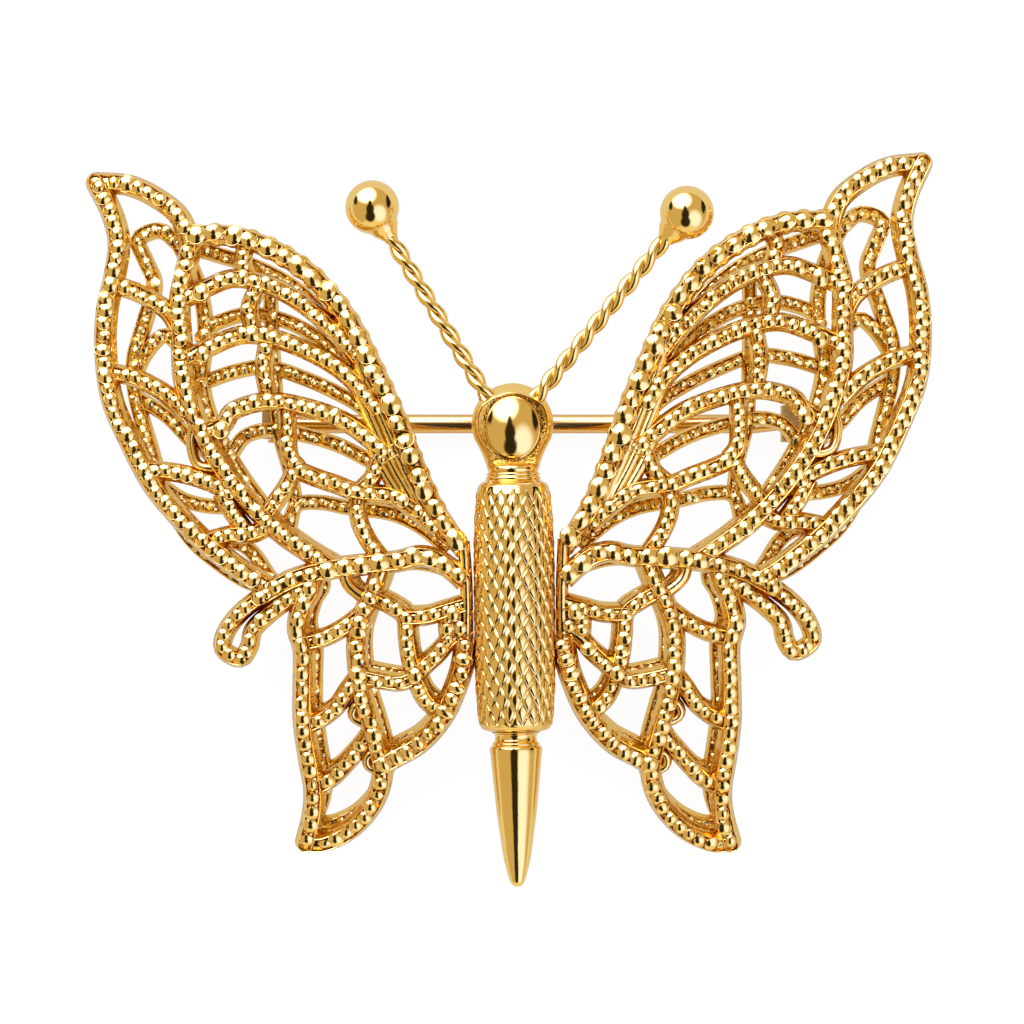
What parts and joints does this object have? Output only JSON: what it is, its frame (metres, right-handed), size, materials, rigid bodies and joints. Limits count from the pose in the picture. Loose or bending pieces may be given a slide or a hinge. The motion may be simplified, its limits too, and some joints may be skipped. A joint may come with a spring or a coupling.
{
  "type": "filigree butterfly brooch",
  "caption": "Gold butterfly brooch with two layers of pierced, beaded wirework wings, a scaled body, a domed head, twisted antennae with balls, and a hinged pin and catch behind.",
  "frame": {"origin": "on the surface that the brooch lies on, under the middle of its outline", "axes": "+Z out of the brooch's front, +Y towards the head along the body, +X to the right as the front is seen"},
  "size_m": [0.051, 0.0441, 0.0079],
  "materials": {
    "bright_gold": "polished",
    "beaded_gold": "polished",
    "deep_gold": "polished",
    "pin_metal": "polished"
  },
  "bodies": {
    "brooch": {"front_wing_left": "beaded_gold", "front_wing_right": "beaded_gold", "under_wing_left": "deep_gold", "under_wing_right": "deep_gold", "thorax": "beaded_gold", "neck_ring": "bright_gold", "tail_spike": "bright_gold", "head_setting": "bright_gold", "head_dome": "bright_gold", "antenna_left": "beaded_gold", "antenna_right": "beaded_gold", "antenna_ball_left": "bright_gold", "antenna_ball_right": "bright_gold", "hinge_bracket": "deep_gold", "hinge_rivet": "pin_metal", "catch": "deep_gold"},
    "pin": {"pin_stem": "pin_metal"}
  },
  "joints": [
    {"name": "pin_hinge", "type": "hinge", "parent": "brooch", "child": "pin", "pos_m": [-0.0144, 0.00567, 0.00085], "axis": [0, 1, 0], "range_deg": [0, 75]}
  ]
}
